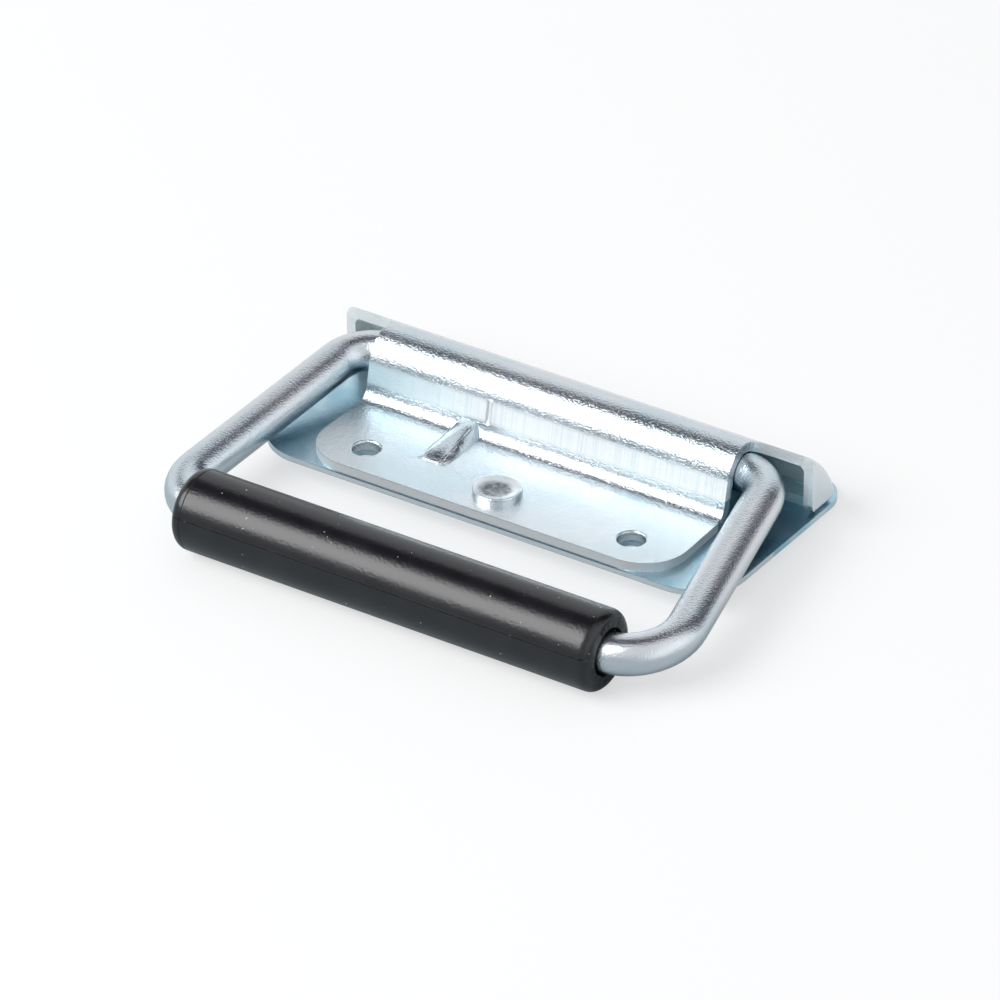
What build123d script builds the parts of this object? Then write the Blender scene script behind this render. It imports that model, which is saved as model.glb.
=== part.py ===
from build123d import *
from math import cos, radians, sin, sqrt, tan
import os

os.makedirs("parts", exist_ok=True)

# Sprung chest handle, in millimetres. X runs along the grip, +Y towards the hinge, +Z away from
# the chest. The origin lies midway between the two screw holes, on the back of the base plate.

# Screw holes and rivet
hole_spacing = 60.0
hole_radius = 2.7
hole_edge_roll = 0.5
rivet_shank_radius = 2.5
rivet_head_radius = 4.8
rivet_head_height = 1.35
rivet_edge_round = 0.3
rivet_rim_width = 0.7
rivet_dish_depth = 0.35
rivet_foot_radius = 3.4
rivet_foot_flare = 45.0
rivet_clearance = 0.05

# Base plate
base_thickness = 1.2
base_half_width = 53.0
base_front_y = -7.7
base_rear_y = 41.9
base_front_corner = 11.0
base_rear_corner = 7.5

# Top plate: a flange, a leaning wall and a curved roof pressed from one sheet
sheet = 2.0
flange_front_y = -7.5
flange_half_width = 41.2
flange_corner = 9.4
hat_half_width = 40.6
wall_foot_y = 15.28
wall_lean = 11.6
foot_bend = 3.0
roof_radius = 22.92
roof_centre_y = 15.56
roof_centre_z = -5.3
heel_bend = 2.2
heel_flange_y = 30.5

# Hood ends: the roof runs out past the hat and is drawn down into an ear at each side
ear_half_width = base_half_width
ear_edge_bend = 2.0
ear_inner_bend = 1.2
ear_bottom_z = 1.75
ear_corner = 2.5
notch_bend = 4.4

# Raised bead over the fixed leg of the spring
bead_x = -16.9
bead_foot_width = 6.9
bead_crest_width = 3.5
bead_front_y = 2.3
bead_front_rise = 0.75
bead_slope = 8.4
bead_bend = 0.7

# Bail: one bent rod whose pins point inwards under the hat. Its two arms are not bent alike.
rod_radius = 4.0
pin_gap = 0.2
pin_end_x = 15.6
pin_end_chamfer = 0.6
rest_tilt = 8.95
arm_length = 56.4
arm_foot_x = 47.0
left_splay = 7.4
right_splay = 10.45
rear_bend = 7.8
left_front_bend = 8.4
right_front_bend = 10.8
stop_gap = 0.3

# Bearing saddles lanced from the base plate
saddle_x = 31.3
saddle_running_gap = 0.1
saddle_front_reach = 2.4
saddle_rear_gap = 0.3
saddle_horn_drop = 0.6
saddle_bend = 0.6
lance_gap = 0.4

# Grip
grip_radius = 8.1
grip_left_x = -47.5
grip_right_x = 45.9
grip_end_round = 2.0
grip_bore_gap = 0.05

# Torsion spring
wire_radius = 0.8
coil_radius = 2.8
coil_turns = 8.8
coil_start_angle = -45.0
spring_side_gap = 0.3
spring_gap = 0.15
leg_front_y = 5.0
leg_turn_y = 17.0
leg_run_out = 1.2
leg_bend = 1.6
catch_depth = 2.6
catch_run_out = 1.3
catch_bend = 1.0

# Reach within which an edge counts as lying at a named place
pick_margin = 0.01

# Derived places
flange_top = base_thickness + sheet
lean = radians(wall_lean)
roof_inner_radius = roof_radius - sheet


def outer_wall_y(z):
    return wall_foot_y + (z - flange_top) * tan(lean)


def outer_roof_z(y):
    return roof_centre_z + sqrt(roof_radius**2 - (y - roof_centre_y) ** 2)


def outer_roof_y(z):
    return roof_centre_y + sqrt(roof_radius**2 - (z - roof_centre_z) ** 2)


# The sheet is bent round the pin, one gap away from it: the pin's axis is the bend's own centre,
# where a line along the wall meets a circle about the roof's centre.
brow_bend = sheet + rod_radius + pin_gap
pin_orbit = roof_inner_radius - rod_radius - pin_gap
wall_stand_off = (sheet + rod_radius + pin_gap) / cos(lean)
level_offset = outer_wall_y(roof_centre_z) + wall_stand_off - roof_centre_y
square_offset = level_offset * cos(lean)
along_wall = sqrt(pin_orbit**2 - square_offset**2) - level_offset * sin(lean)
hinge_z = roof_centre_z + along_wall * cos(lean)
hinge_y = outer_wall_y(hinge_z) + wall_stand_off
wing_front_y = hinge_y + rod_radius + stop_gap

tilt = radians(rest_tilt)
bail_plane = Plane(origin=(0, hinge_y, hinge_z), x_dir=(1, 0, 0), z_dir=(0, -sin(tilt), cos(tilt)))
left_front_x = arm_foot_x + arm_length * tan(radians(left_splay))
right_front_x = arm_foot_x + arm_length * tan(radians(right_splay))
grip_y = hinge_y - arm_length * cos(tilt)
grip_z = hinge_z - arm_length * sin(tilt)

# The spring's coil runs from just inside the left pin to just short of the right one
leg_z = base_thickness + spring_gap + wire_radius
leg_pocket_radius = wire_radius + spring_gap
leg_pocket_front_y = leg_front_y - spring_gap
coil_start_x = -pin_end_x + spring_side_gap + wire_radius
coil_end_x = pin_end_x - spring_side_gap - wire_radius
coil_length = coil_end_x - coil_start_x
coil_pitch = coil_length / coil_turns
leg_floor_y = (
    hinge_y
    + coil_radius * (cos(radians(coil_start_angle)) - sin(radians(coil_start_angle)))
    - (hinge_z - leg_z)
)
catch_angle = radians(coil_start_angle + 360 * coil_turns)
catch_radius = Vector(0, cos(catch_angle), sin(catch_angle)) * coil_radius
catch_tangent = Vector(0, -sin(catch_angle), cos(catch_angle))
catch_knee = Vector(coil_end_x, hinge_y, hinge_z) + catch_radius + catch_tangent * catch_run_out
catch_radial = (0, catch_knee.Y - hinge_y, catch_knee.Z - hinge_z)

# Base plate with its holes, and the two saddles bent up out of it
saddle_front_y = hinge_y - saddle_front_reach
saddle_rear_y = heel_flange_y - saddle_rear_gap
saddle_top = hinge_z - saddle_horn_drop
saddle_notch = rod_radius + saddle_running_gap
saddle_middle_y = (saddle_front_y + saddle_rear_y) / 2
saddle_depth = saddle_rear_y - saddle_front_y
lance_length = saddle_top - base_thickness + lance_gap

with BuildPart() as base_plate:
    with BuildSketch() as base_outline:
        with Locations((0, (base_front_y + base_rear_y) / 2)):
            Rectangle(2 * base_half_width, base_rear_y - base_front_y)
        fillet(base_outline.vertices().group_by(Axis.Y)[0], base_front_corner)
        fillet(base_outline.vertices().group_by(Axis.Y)[-1], base_rear_corner)
        with Locations((-hole_spacing / 2, 0), (hole_spacing / 2, 0)):
            Circle(hole_radius, mode=Mode.SUBTRACT)
        with Locations((0, 0)):
            Circle(rivet_shank_radius + rivet_clearance, mode=Mode.SUBTRACT)
        for side in (-1, 1):
            with Locations((side * (saddle_x - lance_length / 2), saddle_middle_y)):
                Rectangle(lance_length, saddle_depth, mode=Mode.SUBTRACT)
    extrude(amount=base_thickness)
    with BuildSketch():
        Circle(rivet_foot_radius + rivet_clearance)
    extrude(amount=base_thickness, taper=rivet_foot_flare, mode=Mode.SUBTRACT)
    for side in (-1, 1):
        with BuildSketch(Plane.YZ.offset(side * (saddle_x + base_thickness / 2))) as saddle:
            with Locations((saddle_middle_y, saddle_top / 2)):
                Rectangle(saddle_depth, saddle_top)
            with Locations((hinge_y, hinge_z)):
                Circle(saddle_notch, mode=Mode.SUBTRACT)
        extrude(amount=base_thickness / 2, both=True)
        outside = (
            base_plate.edges()
            .filter_by(Axis.Y)
            .filter_by_position(Axis.Y, saddle_front_y - pick_margin, saddle_rear_y + pick_margin)
            .filter_by_position(Axis.Z, -pick_margin, pick_margin)
            .sort_by_distance((side * saddle_x, hinge_y, 0))[0]
        )
        fillet(outside, base_thickness)
        inside = (
            base_plate.edges()
            .filter_by(Axis.Y)
            .sort_by_distance((side * (saddle_x + base_thickness), hinge_y, base_thickness))[0]
        )
        fillet(inside, saddle_bend)

base_plate.part.label = "base_plate"
export_step(base_plate.part, "parts/base_plate.step")

# Ears close the ends of the hood, from the wing edge back to the heel. Their inner side is the
# room under the roof, which is rounded where the roof turns down into them.
inner_roof_y = roof_centre_y + sqrt(roof_inner_radius**2 - (flange_top - roof_centre_z) ** 2)

with BuildPart() as hood_room:
    with BuildSketch(Plane.YZ):
        with BuildLine():
            room_front = Line((roof_centre_y, 0), (roof_centre_y, roof_centre_z + roof_inner_radius))
            room_roof = RadiusArc(room_front @ 1, (inner_roof_y, flange_top), roof_inner_radius)
            Polyline(room_roof @ 1, (heel_flange_y, flange_top), (heel_flange_y, 0), room_front @ 0)
        make_face()
    extrude(amount=ear_half_width - sheet, both=True)
    room_rims = (
        hood_room.edges()
        .filter_by(GeomType.CIRCLE)
        .filter_by(lambda edge: abs(abs(edge.center().X) - ear_half_width + sheet) < pick_margin)
    )
    fillet(room_rims, ear_inner_bend)

with BuildPart() as hood_ears:
    for side in (-1, 1):
        with BuildSketch(Plane.YZ.offset(side * ear_half_width)):
            with BuildLine() as ear_outline:
                front = Line((wing_front_y, ear_bottom_z), (wing_front_y, outer_roof_z(wing_front_y)))
                back = RadiusArc(front @ 1, (outer_roof_y(ear_bottom_z), ear_bottom_z), roof_radius)
                Line(back @ 1, front @ 0)
                fillet(ear_outline.vertices().sort_by_distance(back @ 1)[0], heel_bend)
            make_face()
        extrude(amount=-side * (sheet + ear_inner_bend))
    add(hood_room.part, mode=Mode.SUBTRACT)

# Bead: it rises from the flange and runs up into the wall
bead_end_y = outer_wall_y(flange_top) + sheet / 2
bead_end_rise = bead_front_rise + (bead_end_y - bead_front_y) * tan(radians(bead_slope))

with BuildPart() as bead:
    for place_y, crest_rise in ((bead_front_y, bead_front_rise), (bead_end_y, bead_end_rise)):
        with BuildSketch(Plane.XZ.offset(-place_y)):
            with BuildLine():
                Polyline(
                    (bead_x - bead_foot_width / 2, base_thickness),
                    (bead_x - bead_foot_width / 2, flange_top),
                    (bead_x - bead_crest_width / 2, flange_top + crest_rise),
                    (bead_x + bead_crest_width / 2, flange_top + crest_rise),
                    (bead_x + bead_foot_width / 2, flange_top),
                    (bead_x + bead_foot_width / 2, base_thickness),
                    close=True,
                )
            make_face()
    loft(ruled=True)
    nose_edges = (
        bead.edges()
        .filter_by(lambda edge: abs(edge.center().Y - bead_front_y) < pick_margin)
        .filter_by(lambda edge: edge.center().Z > flange_top + pick_margin)
    )
    crest_edges = (
        bead.faces()
        .sort_by(Axis.Z)[-1]
        .edges()
        .filter_by(lambda edge: bead_front_y + pick_margin < edge.center().Y < bead_end_y - pick_margin)
    )
    fillet(nose_edges + crest_edges, bead_bend)

# Top plate: the sheet's section runs along the flange, up the wall, over the roof and in at the
# heel, and the plate is then trimmed to its plan
with BuildPart() as top_plate:
    with BuildSketch(Plane.YZ):
        with BuildLine() as section:
            roof_circle = CenterArc((roof_centre_y, roof_centre_z), roof_radius, 0, 180, mode=Mode.PRIVATE)
            flange = Line((flange_front_y, flange_top), (wall_foot_y, flange_top))
            wall = IntersectingLine(flange @ 1, (sin(lean), cos(lean)), roof_circle)
            roof = RadiusArc(wall @ 1, (outer_roof_y(base_thickness), base_thickness), roof_radius)
            Line(roof @ 1, (heel_flange_y, base_thickness))
            fillet(section.vertices().sort_by_distance(wall @ 0)[0], foot_bend)
            fillet(section.vertices().sort_by_distance(wall @ 1)[0], brow_bend)
            fillet(section.vertices().sort_by_distance(roof @ 1)[0], heel_bend)
            offset(amount=sheet, side=Side.RIGHT)
        make_face()
    extrude(amount=ear_half_width, both=True)
    add(hood_ears.part)

    # Plan of the plate: the notches that let the arms swing up part the flange from the wings
    for side in (-1, 1):
        with BuildSketch(Plane.XY) as notch:
            with BuildLine():
                Polyline(
                    (side * flange_half_width, flange_front_y),
                    (side * hat_half_width, wall_foot_y),
                    (side * hat_half_width, wing_front_y),
                    (side * (ear_half_width + sheet), wing_front_y),
                    (side * (ear_half_width + sheet), flange_front_y),
                    close=True,
                )
            make_face()
            fillet(notch.vertices().sort_by_distance((side * hat_half_width, wing_front_y))[0], notch_bend)
        extrude(amount=roof_radius, mode=Mode.SUBTRACT)

    corner_edges = (
        top_plate.edges()
        .filter_by(Axis.Z)
        .filter_by_position(Axis.Y, flange_front_y - pick_margin, flange_front_y + pick_margin)
    )
    fillet(corner_edges, flange_corner)
    ear_rims = (
        top_plate.edges()
        .filter_by(GeomType.CIRCLE)
        .filter_by(lambda edge: abs(edge.radius - roof_radius) < pick_margin)
        .filter_by(lambda edge: abs(abs(edge.center().X) - ear_half_width) < pick_margin)
    )
    fillet(ear_rims, ear_edge_bend)
    ear_corners = (
        top_plate.edges()
        .filter_by(Axis.X)
        .filter_by(lambda edge: abs(edge.center().X) > ear_half_width - sheet)
        .filter_by(lambda edge: edge.center().Y < heel_flange_y and edge.center().Z < flange_top)
    )
    fillet(ear_corners, ear_corner)

    # Bead with the leg's pocket under it
    add(bead.part)
    with BuildSketch(Plane.XZ.offset(-leg_pocket_front_y)):
        with Locations((bead_x, leg_z)):
            Circle(leg_pocket_radius)
        with Locations((bead_x, leg_z / 2)):
            Rectangle(2 * leg_pocket_radius, leg_z)
    extrude(amount=leg_pocket_front_y - hinge_y, mode=Mode.SUBTRACT)

    # Screw holes with drawn edges, and the rivet hole
    with BuildSketch(Plane.XY):
        with Locations((-hole_spacing / 2, 0), (hole_spacing / 2, 0)):
            Circle(hole_radius)
        Circle(rivet_shank_radius + rivet_clearance)
    extrude(amount=flange_top, mode=Mode.SUBTRACT)
    hole_rims = (
        top_plate.edges()
        .filter_by(GeomType.CIRCLE)
        .filter_by(lambda edge: abs(edge.radius - hole_radius) < pick_margin)
        .filter_by_position(Axis.Z, flange_top - pick_margin, flange_top + pick_margin)
    )
    fillet(hole_rims, hole_edge_roll)

top_plate.part.label = "top_plate"
export_step(top_plate.part, "parts/top_plate.step")

# Rivet: a flat dished head on the flange, a shank, and a foot spread flush in the base plate
rivet_top = flange_top + rivet_head_height

with BuildPart() as rivet:
    with BuildSketch(Plane.XZ):
        with BuildLine():
            foot = Line((0, 0), (rivet_foot_radius, 0))
            cone = Line(foot @ 1, (rivet_shank_radius, rivet_foot_radius - rivet_shank_radius))
            shank = Line(cone @ 1, (rivet_shank_radius, flange_top))
            seat = Line(shank @ 1, (rivet_head_radius, flange_top))
            rim = Line(seat @ 1, (rivet_head_radius, rivet_top))
            lip = Line(rim @ 1, (rivet_head_radius - rivet_rim_width, rivet_top))
            dish = TangentArc((0, rivet_top - rivet_dish_depth), lip @ 1, tangent=(1, 0))
            Line(dish @ 0, foot @ 0)
        make_face()
    revolve(axis=Axis.Z)
    head_rim = (
        rivet.edges()
        .filter_by(GeomType.CIRCLE)
        .filter_by(lambda edge: abs(edge.radius - rivet_head_radius) < pick_margin)
        .sort_by(Axis.Z)[-1]
    )
    fillet(head_rim, rivet_edge_round)

rivet.part.label = "rivet"
export_step(rivet.part, "parts/rivet.step")

# Bail: the rod's centreline lies in the bail's own plane, from pin end to pin end
with BuildLine(bail_plane) as bail_path:
    FilletPolyline(
        (-pin_end_x, 0),
        (-arm_foot_x, 0),
        (-left_front_x, -arm_length),
        (right_front_x, -arm_length),
        (arm_foot_x, 0),
        (pin_end_x, 0),
        radius=[rear_bend, left_front_bend, right_front_bend, rear_bend],
    )
rod_start = Plane(origin=bail_path.line @ 0, z_dir=bail_path.line % 0)

with BuildPart() as bail:
    with BuildSketch(rod_start):
        Circle(rod_radius)
    sweep(path=bail_path.line)
    pin_rims = (
        bail.edges()
        .filter_by(GeomType.CIRCLE)
        .filter_by(lambda edge: abs(abs(edge.center().X) - pin_end_x) < pick_margin)
    )
    chamfer(pin_rims, pin_end_chamfer)
    with BuildSketch(Plane(origin=(pin_end_x, hinge_y, hinge_z), x_dir=catch_radial, z_dir=(1, 0, 0))):
        Rectangle(2 * (rod_radius + sheet), 2 * (wire_radius + spring_gap))
    extrude(amount=catch_depth, mode=Mode.SUBTRACT)

bail.part.label = "bail"
export_step(bail.part, "parts/bail.step")

# Grip, moulded on round the front of the rod
with BuildPart() as grip:
    with BuildSketch(Plane.YZ.offset(grip_left_x)):
        with Locations((grip_y, grip_z)):
            Circle(grip_radius)
    extrude(amount=grip_right_x - grip_left_x)
    fillet(grip.edges().filter_by(GeomType.CIRCLE), grip_end_round)
    with BuildSketch(rod_start):
        Circle(rod_radius + grip_bore_gap)
    sweep(path=bail_path.line, mode=Mode.SUBTRACT)

grip.part.label = "grip"
export_step(grip.part, "parts/grip.step")

# Torsion spring: one leg lies under the bead, the coil sits between the pins, and the other end
# turns into the slot across the right pin
coil_axis = Axis((coil_start_x, hinge_y, hinge_z), (1, 0, 0))
with BuildLine() as wire_path:
    coil = Helix(coil_pitch, coil_length, coil_radius, coil_axis.position, (1, 0, 0), mode=Mode.PRIVATE)
    coil = coil.rotate(coil_axis, coil_start_angle - 90)
    FilletPolyline(
        (bead_x, leg_front_y, leg_z),
        (bead_x, leg_turn_y, leg_z),
        (coil_start_x, leg_floor_y, leg_z),
        coil @ 0 - (coil % 0) * leg_run_out,
        coil @ 0,
        radius=leg_bend,
    )
    add(coil)
    FilletPolyline(
        coil @ 1,
        catch_knee,
        catch_knee + Vector(spring_side_gap + wire_radius + catch_depth - spring_gap, 0, 0),
        radius=catch_bend,
    )

with BuildPart() as torsion_spring:
    with BuildSketch(Plane.XZ.offset(-leg_front_y)):
        with Locations((bead_x, leg_z)):
            Circle(wire_radius)
    sweep(path=wire_path.line)

torsion_spring.part.label = "torsion_spring"
export_step(torsion_spring.part, "parts/torsion_spring.step")
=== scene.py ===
import math
import bpy
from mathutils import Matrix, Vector


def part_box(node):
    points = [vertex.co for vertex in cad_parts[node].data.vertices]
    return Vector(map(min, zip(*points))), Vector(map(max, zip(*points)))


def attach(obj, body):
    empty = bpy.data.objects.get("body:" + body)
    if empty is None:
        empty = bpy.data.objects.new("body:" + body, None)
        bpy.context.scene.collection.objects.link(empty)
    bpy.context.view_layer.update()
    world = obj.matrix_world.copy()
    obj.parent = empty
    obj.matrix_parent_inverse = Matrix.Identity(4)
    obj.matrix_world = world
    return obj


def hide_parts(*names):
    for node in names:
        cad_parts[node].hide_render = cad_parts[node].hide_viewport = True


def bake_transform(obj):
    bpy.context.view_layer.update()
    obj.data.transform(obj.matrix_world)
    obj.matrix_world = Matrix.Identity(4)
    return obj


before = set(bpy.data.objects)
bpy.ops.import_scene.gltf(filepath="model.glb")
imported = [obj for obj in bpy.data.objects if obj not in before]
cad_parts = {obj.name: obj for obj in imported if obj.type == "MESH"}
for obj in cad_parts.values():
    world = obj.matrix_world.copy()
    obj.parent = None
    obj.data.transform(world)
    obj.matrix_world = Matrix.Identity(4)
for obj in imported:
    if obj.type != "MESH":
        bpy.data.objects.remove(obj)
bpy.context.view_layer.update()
print("frame loaded:", len(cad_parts), "solids")

mm = 0.001
touch = 0.01 * mm  # reach within which a vertex counts as lying at a named place
mergeReach = 0.002 * mm


# Shader arithmetic: a Signal is one socket, and sums on it add Math nodes
class Signal:
    def __init__(self, tree, socket):
        self.tree = tree
        self.socket = socket

    def work(self, operation, *items):
        node = self.tree.nodes.new("ShaderNodeMath")
        node.operation = operation
        for place, item in enumerate(items):
            if isinstance(item, Signal):
                self.tree.links.new(item.socket, node.inputs[place])
            else:
                node.inputs[place].default_value = item
        return Signal(self.tree, node.outputs[0])

    def __add__(self, other):
        return self.work("ADD", self, other)

    def __radd__(self, other):
        return self.work("ADD", other, self)

    def __sub__(self, other):
        return self.work("SUBTRACT", self, other)

    def __rsub__(self, other):
        return self.work("SUBTRACT", other, self)

    def __mul__(self, other):
        return self.work("MULTIPLY", self, other)

    def __rmul__(self, other):
        return self.work("MULTIPLY", other, self)

    def upTo(self, other):  # the larger of two
        return self.work("MAXIMUM", self, other)

    def root(self):
        return self.work("SQRT", self)

    def far(self, place):  # distance from a place
        return self.work("ABSOLUTE", self - place)

    def smooth(self, low, high):  # rises from 0 at low to 1 at high
        node = self.tree.nodes.new("ShaderNodeMapRange")
        node.interpolation_type = "SMOOTHSTEP"
        self.tree.links.new(self.socket, node.inputs[0])
        node.inputs[1].default_value = low
        node.inputs[2].default_value = high
        return Signal(self.tree, node.outputs[0])

    def band(self, low, high, soft):  # 1 between low and high
        return self.smooth(low - soft, low + soft) * (1 - self.smooth(high - soft, high + soft))

    def toward(self, value, mask):  # moves to a value where the mask is 1
        return self * (1 - mask) + value * mask


# A shader tree with one way to add any node
class Shader:
    def __init__(self, tree):
        self.tree = tree
        tree.nodes.clear()

    def node(self, kind, settings=None, sockets=None, output=0):
        made = self.tree.nodes.new(kind)
        for name, value in (settings or {}).items():
            setattr(made, name, value)
        for place, value in (sockets or {}).items():
            socket = made.inputs[place]
            if isinstance(value, Signal):
                self.tree.links.new(value.socket, socket)
            elif socket.type == "RGBA":
                socket.default_value = (*value, 1)
            else:
                socket.default_value = value
        return Signal(self.tree, made.outputs[output]) if made.outputs else None

    def mixColour(self, factor, first, second):
        sockets = {0: factor, 6: first, 7: second}
        return self.node("ShaderNodeMix", {"data_type": "RGBA"}, sockets, 2)

    def noise(self, where, scale, detail):
        sockets = {"Vector": where, "Scale": scale, "Detail": detail}
        return self.node("ShaderNodeTexNoise", None, sockets)

    def part(self, vector, axis):
        return self.node("ShaderNodeSeparateXYZ", None, {0: vector}, axis)

    def ray(self, output):  # one kind of ray from Light Path
        return self.node("ShaderNodeLightPath", output=output)


class Finish(Shader):
    def __init__(self, name):
        self.material = bpy.data.materials.new(name)
        self.material.use_nodes = True
        super().__init__(self.material.node_tree)
        self.where = self.node("ShaderNodeTexCoord", output=3)

    def stretched(self, scale):
        return self.node("ShaderNodeMapping", None, {"Vector": self.where, "Scale": scale})

    def along(self, axis):  # one coordinate, in millimetres
        return self.part(self.where, axis) * 1000

    def bump(self, height, strength, distance):
        sockets = {"Strength": strength, "Distance": distance, "Height": height}
        return self.node("ShaderNodeBump", None, sockets)

    def close(self, sockets):
        surface = self.node("ShaderNodeBsdfPrincipled", None, sockets)
        self.node("ShaderNodeOutputMaterial", None, {0: surface})
        return self.material


rayKinds = {"camera": 0, "glossy": 3, "transmission": 6}  # outputs of Light Path

# Stage: camera at the photographed angle, pale floor, soft studio light
stage = {
    "cameraPlace": (0.67495, -1.02511, 0.75023),
    "cameraAzimuth": 33.34,
    "cameraElevation": 31.38,
    "lens": 273.67,
    "sensor": 36,
    "nearest": 0.05,
    "floorSize": 3.0,
    "floorTilt": 5.516,  # the handle leans on its grip, so the floor tilts to meet both
    "floorDrop": -4.05 * mm,
    "floorColour": (0.93, 0.94, 0.95),
    "floorLight": 0.6,
    "floorAhead": (0.52, 0.58, 0.61),  # the floor before the handle, as the metal mirrors it
    "aheadFrom": (-40, 60),
}

cameraData = bpy.data.cameras.new("camera")
cameraData.lens = stage["lens"]
cameraData.sensor_width = stage["sensor"]
cameraData.clip_start = stage["nearest"]
camera = bpy.data.objects.new("camera", cameraData)
camera.location = stage["cameraPlace"]
camera.rotation_euler = (
    math.radians(90 - stage["cameraElevation"]),
    0,
    math.radians(stage["cameraAzimuth"]),
)
bpy.context.collection.objects.link(camera)
bpy.context.scene.camera = camera
bpy.context.scene.view_settings.view_transform = "Standard"

bpy.ops.object.select_all(action="DESELECT")
bpy.ops.mesh.primitive_plane_add(size=stage["floorSize"], location=(0, 0, stage["floorDrop"]))
floor = bpy.context.object
floor.name = "floor"
floor.rotation_euler = (math.radians(stage["floorTilt"]), 0, 0)

paper = Finish("whitePaper")
seen = paper.ray(rayKinds["camera"]).upTo(paper.ray(rayKinds["transmission"]))
mirrored = paper.ray(rayKinds["glossy"])
ahead = 1 - paper.along(1).smooth(*stage["aheadFrom"])
paleGrey = paper.mixColour(mirrored * ahead, stage["floorColour"], stage["floorAhead"])
white = paper.node("ShaderNodeBsdfDiffuse", None, {"Color": paleGrey})
glow = paper.node("ShaderNodeEmission", None, {"Color": (1, 1, 1), "Strength": 1.0})
lift = seen.upTo(mirrored * (1 - ahead)) * stage["floorLight"]
floorSurface = paper.node("ShaderNodeMixShader", None, {0: lift, 1: white, 2: glow})
paper.node("ShaderNodeOutputMaterial", None, {0: floorSurface})
floor.data.materials.append(paper.material)

# The room: pale walls, a dark opening overhead that runs down to the rear right as a gap, a
# bright right side, and a duller front. Headings run from -1 to 1 to the east, north and up.
room = {
    "pale": 0.94,
    "paleGain": 0.06,
    "gainUp": (0.3, 0.5),
    "dark": 0.07,
    "openingNorth": (-0.19, 0.4, 0.035),
    "openingUp": (0.55, 0.7),
    "openingEast": (0.1, 0.35),
    "gapSlant": (0.534, 0.845),
    "gapWidth": (-0.33, 0.22, 0.12),
    "gapNorth": (0.1, 0.3),
    "gapUp": (-0.02, 0.25),
    "front": 0.8,
    "frontNorth": (-0.35, -0.15),
    "low": 0.55,
    "lowUp": (0.1, 0.3),
    "right": 1.25,
    "rightEast": (0.6, 0.85),
    "paleTint": (0.96, 0.98, 1.0),
    "darkTint": (0.85, 0.8, 1.0),
    "fill": 0.55,  # all that isn't mirrored is lit evenly
    "fillTint": (0.97, 0.98, 1.0),
}
world = bpy.data.worlds.new("room")
world.use_nodes = True
bpy.context.scene.world = world
sky = Shader(world.node_tree)
heading = sky.node("ShaderNodeTexCoord", output=0)
east, north, up = (sky.part(heading, axis) for axis in range(3))

opening = north.band(*room["openingNorth"]) * up.smooth(*room["openingUp"])
opening = opening * (1 - east.smooth(*room["openingEast"]))
slant = north * room["gapSlant"][0] - east * room["gapSlant"][1]
gap = slant.band(*room["gapWidth"]) * north.smooth(*room["gapNorth"]) * up.smooth(*room["gapUp"])
dark = opening.upTo(gap)
front = 1 - north.smooth(*room["frontNorth"])
low = front * (1 - up.smooth(*room["lowUp"]))
level = room["pale"] + up.smooth(*room["gainUp"]) * room["paleGain"]
level = level.toward(room["front"], front)
level = level.toward(room["low"], low)
level = level.toward(room["right"], east.smooth(*room["rightEast"]))
level = level.toward(room["dark"], dark)
tint = sky.mixColour(dark, room["paleTint"], room["darkTint"])
straight = sky.ray(rayKinds["camera"]).upTo(sky.ray(rayKinds["transmission"]))
studio = sky.node("ShaderNodeBackground", None, {"Color": tint, "Strength": level})
soft = sky.node("ShaderNodeBackground", None, {"Color": room["fillTint"], "Strength": room["fill"]})
blank = sky.node("ShaderNodeBackground", None, {"Color": (1, 1, 1), "Strength": 1.0})
lit = sky.node("ShaderNodeMixShader", None, {0: sky.ray(rayKinds["glossy"]), 1: soft, 2: studio})
shown = sky.node("ShaderNodeMixShader", None, {0: straight, 1: lit, 2: blank})
sky.node("ShaderNodeOutputWorld", None, {0: shown})

# One large softbox at the front left
softbox = {"place": (-0.75, -0.98, 1.02), "width": 1.25, "height": 0.95, "power": 21}
boxLight = bpy.data.lights.new("softbox", "AREA")
boxLight.shape = "RECTANGLE"
boxLight.size = softbox["width"]
boxLight.size_y = softbox["height"]
boxLight.energy = softbox["power"]
box = bpy.data.objects.new("softbox", boxLight)
box.location = softbox["place"]
box.rotation_euler = (-Vector(softbox["place"])).to_track_quat("-Z", "Y").to_euler()
box.visible_camera = False
bpy.context.collection.objects.link(box)
print("stage set")


def distance(first, second):
    return (first * first + second * second).root()


zincPatches = {"from": (0.35, 0.65), "roughSwing": 0.04}


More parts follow.
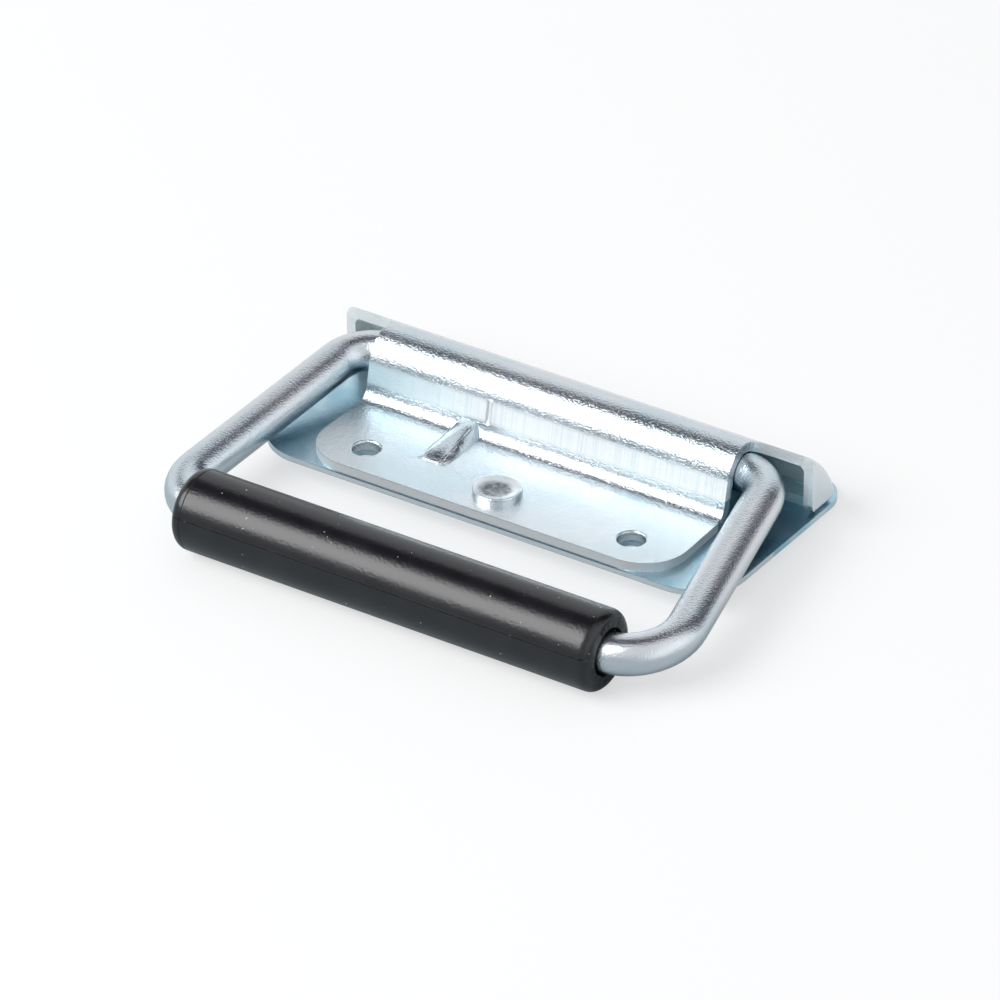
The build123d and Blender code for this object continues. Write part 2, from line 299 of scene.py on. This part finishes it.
# Bright zinc: a bluish metal with a fine even grain, whose depth is in tenths of a millimetre. It
# starts the same all over, and each function here adds what one kind of place on the handle shows.
class Zinc(Finish):
    def __init__(self, name, look):
        super().__init__(name)
        self.across, self.depth, self.up = (self.along(axis) for axis in range(3))
        self.side = self.across.far(0)
        patch = self.noise(self.where, look["patchScale"], 2.0).smooth(*zincPatches["from"])
        self.colour = self.mixColour(patch, look["cool"], look["warm"])
        self.rough = look["roughness"] + (patch - 0.5) * zincPatches["roughSwing"]
        self.metal = 1.0
        self.height = self.noise(self.where, look["grainScale"], 3.0) - 0.5
        self.grainDepth = look["grainDepth"]

    # The drawn wall is matt, with fine upright lines, a crease, and shade towards its left end
    def addWall(self, wall):
        onWall = self.depth.band(*wall["depth"]) * self.up.band(*wall["up"])
        lines = self.noise(self.stretched(wall["lineScale"]), 1.0, 2.0)
        crease = (1 - self.across.far(wall["creaseAt"]).smooth(*wall["creaseReach"])) * onWall
        self.height = self.height + (lines - 0.5) * onWall * wall["lineDepth"]
        self.height = self.height - crease * wall["creaseDepth"]
        drawn = self.mixColour(lines.smooth(*wall["linedFrom"]), wall["lined"], wall["colour"])
        drawn = self.mixColour(self.across.smooth(*wall["shadedTo"]), wall["shaded"], drawn)
        self.colour = self.mixColour(onWall, self.colour, drawn)
        self.rough = self.rough + onWall * wall["roughness"]
        self.metal = self.metal - onWall * wall["matt"]

    # Drawing the bead has smoothed most of its grain away
    def smoothBead(self, bead):
        crest = 1 - self.across.far(bead["middle"]).smooth(*bead["aside"])
        crest = crest * self.depth.band(*bead["depth"]) * self.up.smooth(*bead["up"])
        self.height = self.height * (1 - crest * bead["smoothed"])

    # Inside the hood the zinc is dull, painted paler towards the left as painted light against its
    # shade, and a darker teal towards the right
    def addHood(self, hood):
        reach = distance(self.depth - hood["y"], self.up - hood["z"])
        inside = self.depth.smooth(*hood["behind"]).upTo(self.side.smooth(*hood["beside"]))
        inside = inside * self.depth.smooth(*hood["offWall"])
        inside = inside * (1 - reach.smooth(*hood["under"]))
        inside = inside * (1 - self.side.smooth(*hood["within"]))
        rightward = self.across.smooth(*hood["fade"])
        # Painted light: a pale colour on the left of the hood's inside, where it lies in shade
        paintedHoodLight = self.mixColour(rightward, hood["left"], hood["right"])
        self.colour = self.mixColour(inside, self.colour, paintedHoodLight)
        self.rough = self.rough + inside * hood["roughness"]
        self.metal = self.metal - inside * hood["matt"] * (1 - rightward * hood["rightGain"])

    # The sheared edge of a flat sheet, or the end of a wing, is paler, and a dark line of painted
    # shadow lies where the two sheets meet, for the shade in the crevice between them
    def addEdges(self, edge):
        hole = distance(self.side - edge["holeX"], self.depth)
        cut = self.up.band(*edge["up"]) * (1 - self.depth.smooth(*edge["flat"]))
        cut = cut * hole.smooth(*edge["offHole"])
        facing = self.part(self.node("ShaderNodeNewGeometry", output=1), 1)
        ends = self.side.smooth(*edge["wing"]) * (1 - facing.smooth(*edge["facing"]))
        cut = cut.upTo(ends * self.up.smooth(*edge["wingUp"]))
        # The paler, duller colour of the cut faces is partly the sheet's own cut finish and partly
        # a painted highlight
        self.colour = self.mixColour(cut, self.colour, edge["colour"])
        self.rough = self.rough + cut * edge["roughness"]
        self.metal = (1 - cut) * self.metal + cut * edge["metal"]
        # Painted shadow: a dark line along the seam where the flange sits on the base plate
        seamShadow = self.up.smooth(*edge["seamShadowFrom"]) * (1 - self.up.smooth(*edge["seamShadowTo"]))
        seamShadow = seamShadow * (1 - self.depth.smooth(*edge["seamShadowDepth"]))
        seamShadow = seamShadow * (1 - self.side.smooth(*edge["seamShadowSide"]))
        self.colour = self.mixColour(seamShadow, self.colour, edge["seamShadowColour"])

    # The dish of the rivet is painted dark, a painted shade in its hollow, mottled by noise
    def addDish(self, dish):
        reach = distance(self.across - dish["x"], self.depth - dish["y"])
        dishShadeMottle = self.noise(self.where, dish["dishShadeMottleScale"], 3.0).smooth(*dish["dishShadeMottleFrom"])
        # Painted shade: darkens the dish round the rivet's middle
        dark = (1 - reach.smooth(*dish["reach"])) * (1 - dish["dishShadeMottle"] + dishShadeMottle * dish["dishShadeMottle"])
        self.colour = self.mixColour(dark, self.colour, dish["colour"])

    def done(self):
        normal = self.bump(self.height, 1.0, self.grainDepth * 0.1 * mm)
        return self.close(
            {
                "Base Color": self.colour,
                "Metallic": self.metal,
                "Roughness": self.rough,
                "Normal": normal,
            }
        )


# Places in the dictionaries below are in millimetres
sheetEdge = {
    "flat": (13, 14),
    "holeX": 30,
    "offHole": (3.2, 3.6),
    "facing": (-0.8, -0.6),
    "wingUp": (3.6, 4.0),
    "roughness": 0.2,
    "metal": 0.45,
    # Where the painted seam shadow lies
    "seamShadowFrom": (0.95, 1.05),
    "seamShadowTo": (1.25, 1.35),
    "seamShadowDepth": (-7.45, -7.3),
    "seamShadowSide": (30, 37),
}

plateLook = {
    "grainScale": 2800,
    "grainDepth": 0.8,
    "patchScale": 90,
    "cool": (0.30, 0.50, 0.61),
    "warm": (0.50, 0.64, 0.71),
    "roughness": 0.22,
}
zincPlate = Zinc("zincPlate", plateLook)
zincPlate.addEdges(
    {
        **sheetEdge,
        "up": (0.1, 1.1, 0.05),
        "wing": (70, 70.4),  # past the ends of the plate, which has no wings
        # The cut edge colour, partly a painted highlight
        "colour": (0.62, 0.70, 0.74),
        # The colour of the painted seam shadow
        "seamShadowColour": (0.1, 0.14, 0.17),
    }
)

pressingLook = {
    "grainScale": 2450,
    "grainDepth": 1.3,
    "patchScale": 70,
    "cool": (0.60, 0.685, 0.73),
    "warm": (0.67, 0.72, 0.755),
    "roughness": 0.2,
}
zincPressing = Zinc("zincPressing", pressingLook)
zincPressing.smoothBead(
    {
        "middle": -16.9,
        "aside": (3.2, 3.6),
        "depth": (3.6, 14, 0.6),
        "up": (3.3, 3.6),
        "smoothed": 0.65,
    }
)
zincPressing.addWall(
    {
        "depth": (15, 17.8, 0.8),
        "up": (6.5, 10.7, 0.7),
        "lineScale": (2600, 30, 30),
        "lineDepth": 0.7,
        "linedFrom": (0.3, 0.6),
        "creaseAt": -12.7,
        "creaseReach": (0.05, 0.8),
        "creaseDepth": 4,
        "colour": (0.91, 0.95, 0.96),
        "lined": (0.80, 0.87, 0.90),
        "shaded": (0.56, 0.74, 0.80),
        "shadedTo": (-44, -8),
        "roughness": 0.2,
        "matt": 0.7,
    }
)
zincPressing.addHood(
    {
        "y": 15.56,
        "z": -5.3,
        "under": (21.3, 21.7),
        "within": (51.8, 52.2),
        "behind": (24, 25),
        "beside": (41.2, 41.8),
        "offWall": (17.5, 18.5),
        "fade": (-30, 30),
        # Painted light: the pale colour for the left of the hood's inside
        "left": (0.92, 0.95, 0.94),
        "right": (0.52, 0.70, 0.76),
        "roughness": 0.25,
        "matt": 0.95,
        "rightGain": 0.65,
    }
)
zincPressing.addEdges(
    {
        **sheetEdge,
        "up": (1.3, 3.08, 0.05),
        "wing": (41.4, 41.8),
        # The cut edge colour, partly a painted highlight
        "colour": (0.72, 0.76, 0.78),
        # The colour of the painted seam shadow
        "seamShadowColour": (0.3, 0.34, 0.36),
    }
)

rodLook = {
    "grainScale": 2800,
    "grainDepth": 0.8,
    "patchScale": 60,
    "cool": (0.60, 0.67, 0.71),
    "warm": (0.68, 0.71, 0.74),
    "roughness": 0.22,
}
zincRod = Zinc("zincRod", rodLook)

rivetLook = {
    "grainScale": 2800,
    "grainDepth": 0.7,
    "patchScale": 200,
    "cool": (0.66, 0.72, 0.76),
    "warm": (0.76, 0.8, 0.82),
    "roughness": 0.16,
}
rivetLow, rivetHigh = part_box("rivet")
zincRivet = Zinc("zincRivet", rivetLook)
zincRivet.addDish(
    {
        "x": (rivetLow[0] + rivetHigh[0]) / 2 / mm,
        "y": (rivetLow[1] + rivetHigh[1]) / 2 / mm - 0.9,
        "reach": (2.2, 4.1),
        "dishShadeMottle": 0.3,
        "dishShadeMottleScale": 900,
        "dishShadeMottleFrom": (0.3, 0.7),
        # The colour of the painted shade in the dish
        "colour": (0.1, 0.11, 0.12),
    }
)

wireLook = {
    "grainScale": 2600,
    "grainDepth": 0.3,
    "patchScale": 200,
    "cool": (0.5, 0.52, 0.55),
    "warm": (0.58, 0.59, 0.6),
    "roughness": 0.26,
}
springWire = Zinc("springWire", wireLook)

looks = {
    "base_plate": zincPlate,
    "top_plate": zincPressing,
    "rivet": zincRivet,
    "bail": zincRod,
    "torsion_spring": springWire,
}
for name, look in looks.items():
    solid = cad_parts[name]
    solid.data.materials.clear()
    solid.data.materials.append(look.done())
print("finishes on the solids")


# A copy of a solid with its loose triangles merged
def mergedCopy(node, name):
    bpy.ops.object.select_all(action="DESELECT")
    piece = bpy.data.objects.new(name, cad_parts[node].data.copy())
    bpy.context.collection.objects.link(piece)
    bpy.context.view_layer.objects.active = piece
    piece.select_set(True)
    bpy.ops.object.mode_set(mode="EDIT")
    bpy.ops.mesh.select_all(action="SELECT")
    bpy.ops.mesh.remove_doubles(threshold=mergeReach)
    bpy.ops.object.mode_set(mode="OBJECT")
    return piece


# Select the vertices, edges or faces of a piece that pass a test on their place
def pick(piece, kind, test):
    bpy.ops.object.mode_set(mode="EDIT")
    bpy.ops.mesh.select_mode(type=kind)
    bpy.ops.mesh.select_all(action="DESELECT")
    bpy.ops.object.mode_set(mode="OBJECT")
    data = piece.data
    if kind == "VERT":
        for vertex in data.vertices:
            vertex.select = test(vertex.co)
    elif kind == "EDGE":
        for edge in data.edges:
            edge.select = all(test(data.vertices[corner].co) for corner in edge.vertices)
    else:
        for face in data.polygons:
            face.select = test(face.center)
    bpy.ops.object.mode_set(mode="EDIT")


# The bead on the top plate is drawn round: its flat crest falls away to both sides and at the nose
beadShape = {
    "middle": -16.9 * mm,
    "crest": 1.75 * mm,
    "foot": 3.45 * mm,
    "footMargin": 0.1 * mm,
    "front": 1.8 * mm,
    "noseStart": 2.2 * mm,
    "nose": 2.8 * mm,
    "noseShare": 0.12,
    "rear": 13.6 * mm,
    "wall": 15.9 * mm,
    "top": 6.4 * mm,
    "flangeTop": 3.2 * mm,
    "crestClear": 0.05 * mm,
    "cuts": 5,
    "strip": 0.25 * mm,
    "strips": 14,
    "smoothing": 6,
}


def onBead(place, rear):
    return (
        abs(place.x - beadShape["middle"]) < beadShape["foot"] + 2 * beadShape["footMargin"]
        and beadShape["front"] < place.y < beadShape[rear]
        and beadShape["flangeTop"] - 2 * touch < place.z < beadShape["top"]
    )


# Lower the strip of the bead that starts at a reach to a share of its height
def lowerStrip(plate, reach, start, share):
    end = start + beadShape["strip"]
    pick(plate, "VERT", lambda place: onBead(place, "rear") and start <= reach(place) < end)
    bpy.ops.transform.resize(
        value=(1, 1, share), center_override=(beadShape["middle"], 0, beadShape["flangeTop"])
    )


def roundBead(plate):
    pick(plate, "EDGE", lambda place: onBead(place, "wall"))
    bpy.ops.mesh.subdivide(number_cuts=beadShape["cuts"])
    foot = beadShape["foot"]
    for strip in range(beadShape["strips"]):
        start = strip * beadShape["strip"]
        aside = start + beadShape["strip"] / 2
        flat = min(1, (foot - aside) / (foot - beadShape["crest"]))
        drawn = 1 - (aside / (foot + beadShape["footMargin"])) ** 2
        share = min(1, drawn / flat)
        lowerStrip(plate, lambda place: abs(place.x - beadShape["middle"]), start, share)
    for strip in range(int(beadShape["nose"] / beadShape["strip"])):
        start = beadShape["noseStart"] + strip * beadShape["strip"]
        risen = (strip + 0.5) * beadShape["strip"] / beadShape["nose"]
        share = beadShape["noseShare"] + (1 - beadShape["noseShare"]) * risen
        lowerStrip(plate, lambda place: place.y, start, share)
    clear = beadShape["flangeTop"] + beadShape["crestClear"]
    pick(plate, "VERT", lambda place: onBead(place, "rear") and place.z > clear)
    bpy.ops.mesh.vertices_smooth(factor=0.5, repeat=beadShape["smoothing"])
    bpy.ops.object.mode_set(mode="OBJECT")


# Plates: the sheared edges of the sheet are a little rounded
smoothAngle = math.radians(40)
plates = {
    "base_plate": {"edge": 0.16 * mm, "sharpAngle": 50, "slot": "zinc_plate"},
    "top_plate": {"edge": 0.22 * mm, "sharpAngle": 50, "slot": "zinc_pressing"},
}
for node, shape in plates.items():
    plate = mergedCopy(node, node + "_rounded")
    roundOff = plate.modifiers.new("roundOff", "BEVEL")
    roundOff.width = shape["edge"]
    roundOff.segments = 2
    roundOff.limit_method = "ANGLE"
    roundOff.angle_limit = math.radians(shape["sharpAngle"])
    roundOff.use_clamp_overlap = True
    bpy.ops.object.modifier_apply(modifier="roundOff")
    if node == "top_plate":
        roundBead(plate)
    bpy.ops.object.shade_smooth_by_angle(angle=smoothAngle)
    evenShading = plate.modifiers.new("evenShading", "WEIGHTED_NORMAL")
    evenShading.keep_sharp = True
    bpy.ops.object.modifier_apply(modifier="evenShading")
    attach(plate, "root")
    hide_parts(node)
print("plates rounded")

# Grip: satin black plastic, moulded in two halves round the rod
gripShape = {
    "left": -47.5 * mm,
    "right": 45.9 * mm,
    "radius": 8.09 * mm,
    "sides": 144,
    "endRound": 2.0 * mm,
    "endSegments": 7,
    "mouth": 4.75 * mm,
    "mouthDepth": 1.6 * mm,
    "lip": 0.15 * mm,
    "lipSunk": 0.12 * mm,
    "lipAside": 0.18 * mm,
    "rimWidth": 0.35 * mm,
    "rimDepth": 0.3 * mm,
    "ragged": 0.16 * mm,
    "raggedSeed": 4,
    "bore": 4.06 * mm,
    "boreMargin": 0.1 * mm,
    "partingAngle": 75,
    "partingWidth": 0.14 * mm,
    "partingDepth": 0.16 * mm,
    "partingInner": 5.15 * mm,
    "ringAt": -45.0 * mm,
    "ringWidth": 0.12 * mm,
    "ringShrink": 0.988,
    "support": 3.2 * mm,
    "smoothAngle": 32,
}
gripLow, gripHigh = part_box("grip")
gripY = (gripLow[1] + gripHigh[1]) / 2
gripZ = (gripLow[2] + gripHigh[2]) / 2
ends = (gripShape["left"], gripShape["right"])


def gripRadius(place):
    return math.hypot(place.y - gripY, place.z - gripZ)


def gripAngle(place):  # 0 at the top, 90 towards the front
    return math.degrees(math.atan2(gripY - place.y, place.z - gripZ))


def fromEnd(place):
    return min(abs(place.x - ends[0]), abs(place.x - ends[1]))


def onParting(place, line, reach):
    outside = gripRadius(place) > gripShape["partingInner"]
    return outside and abs(gripAngle(place) - line) < reach


bpy.ops.object.select_all(action="DESELECT")
bpy.ops.mesh.primitive_cylinder_add(
    vertices=gripShape["sides"],
    radius=gripShape["radius"],
    depth=gripShape["right"] - gripShape["left"],
    location=((gripShape["left"] + gripShape["right"]) / 2, gripY, gripZ),
    rotation=(0, math.radians(90), 0),
)
grip = bpy.context.object
grip.name = "grip_moulding"
bpy.ops.object.transform_apply(location=True, rotation=True, scale=True)

endFace = gripShape["radius"] - gripShape["endRound"] - gripShape["mouth"] - gripShape["lip"]
shrink = gripShape["bore"] / gripShape["mouth"]
for end, inward in zip(ends, (1, -1)):
    pick(grip, "EDGE", lambda place: abs(place.x - end) < touch)
    bpy.ops.mesh.bevel(
        offset=gripShape["endRound"], segments=gripShape["endSegments"], profile=0.5
    )
    pick(grip, "FACE", lambda place: abs(place.x - end) < touch)
    bpy.ops.mesh.inset(thickness=endFace)
    bpy.ops.mesh.inset(thickness=gripShape["lip"])
    bpy.ops.transform.translate(value=(inward * gripShape["lipSunk"], gripShape["lipAside"], 0))
    bpy.ops.mesh.extrude_region_move(
        TRANSFORM_OT_translate={
            "value": (inward * gripShape["mouthDepth"], -gripShape["lipAside"], 0)
        }
    )
    bottom = end + inward * gripShape["mouthDepth"]
    bpy.ops.transform.resize(value=(1, shrink, shrink), center_override=(bottom, gripY, gripZ))
    bpy.ops.mesh.delete(type="ONLY_FACE")
pick(
    grip,
    "EDGE",
    lambda place: gripRadius(place) < gripShape["bore"] + gripShape["boreMargin"]
    and fromEnd(place) > gripShape["mouthDepth"] - gripShape["boreMargin"],
)
bpy.ops.mesh.bridge_edge_loops()
print("grip bored")

# Its parting line runs the whole length, and a witness ring goes round near the left end
for line in (gripShape["partingAngle"], gripShape["partingAngle"] - 180):
    pick(grip, "EDGE", lambda place: onParting(place, line, 0.3))
    bpy.ops.mesh.bevel(offset=gripShape["partingWidth"], segments=2, profile=0.5)
    pick(grip, "VERT", lambda place: onParting(place, line, 0.2))
    sunkY = math.sin(math.radians(line)) * gripShape["partingDepth"]
    sunkZ = -math.cos(math.radians(line)) * gripShape["partingDepth"]
    bpy.ops.transform.translate(value=(0, sunkY, sunkZ))

# Cuts beside the ring, and one near each end, keep the shading even along the length
cuts = [gripShape["ringAt"] + step * gripShape["ringWidth"] for step in (-2, -1, 0, 1, 2)]
cuts = cuts + [gripShape["left"] + gripShape["support"], gripShape["right"] - gripShape["support"]]
for cut in cuts:
    bpy.ops.mesh.select_all(action="SELECT")
    bpy.ops.mesh.bisect(plane_co=(cut, 0, 0), plane_no=(1, 0, 0))
pick(
    grip,
    "VERT",
    lambda place: abs(place.x - gripShape["ringAt"]) < 2 * touch
    and gripRadius(place) > gripShape["mouth"],
)
bpy.ops.transform.resize(
    value=(1, gripShape["ringShrink"], gripShape["ringShrink"]),
    center_override=(gripShape["ringAt"], gripY, gripZ),
)

# The rims of the mouths are a little ragged
pick(
    grip,
    "VERT",
    lambda place: abs(gripRadius(place) - gripShape["mouth"]) < gripShape["rimWidth"]
    and fromEnd(place) < gripShape["rimDepth"],
)
bpy.ops.transform.vertex_random(
    offset=gripShape["ragged"], uniform=0.1, normal=0.0, seed=gripShape["raggedSeed"]
)
bpy.ops.mesh.select_all(action="SELECT")
bpy.ops.mesh.normals_make_consistent(inside=False)
bpy.ops.object.mode_set(mode="OBJECT")
bpy.ops.object.shade_smooth_by_angle(angle=math.radians(gripShape["smoothAngle"]))

gripLook = {
    "black": (0.004, 0.004, 0.006),
    "worn": (0.008, 0.008, 0.010),
    "patchScale": 140,
    "wornFrom": (0.3, 0.7),
    "roughness": 0.24,
    "roughSwing": 0.06,
    "dust": (0.45, 0.45, 0.46),
    "dustScale": 1500,
    "dustFrom": (0.86, 0.88),
    "dustRoughness": 0.4,
    "pebbleScale": 2000,
    "pebble": 0.45,
    "gloss": 0.56,
}
blackGrip = Finish("blackGrip")
pebble = blackGrip.noise(blackGrip.where, gripLook["pebbleScale"], 2.0)
patch = blackGrip.noise(blackGrip.where, gripLook["patchScale"], 3.0)
worn = patch.smooth(*gripLook["wornFrom"])
specks = blackGrip.noise(blackGrip.where, gripLook["dustScale"], 0.0)
specks = specks.smooth(*gripLook["dustFrom"])
colour = blackGrip.mixColour(worn, gripLook["black"], gripLook["worn"])
colour = blackGrip.mixColour(specks, colour, gripLook["dust"])
rough = gripLook["roughness"] + (patch - 0.5) * gripLook["roughSwing"]
moulded = blackGrip.close(
    {
        "Base Color": colour,
        "Roughness": rough + specks * gripLook["dustRoughness"],
        "Normal": blackGrip.bump(pebble, gripLook["pebble"], 0.1 * mm),
        "Specular IOR Level": gripLook["gloss"],
    }
)
for solid in (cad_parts["grip"], grip):
    solid.data.materials.clear()
    solid.data.materials.append(moulded)
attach(grip, "bail_body")
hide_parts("grip")
print("grip made")

# Spring: its coil twists between the fixed leg and the right pin
spring = mergedCopy("torsion_spring", "spring_coil")
bpy.ops.object.shade_smooth_by_angle(angle=smoothAngle)
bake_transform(spring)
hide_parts("torsion_spring")
print("spring made")
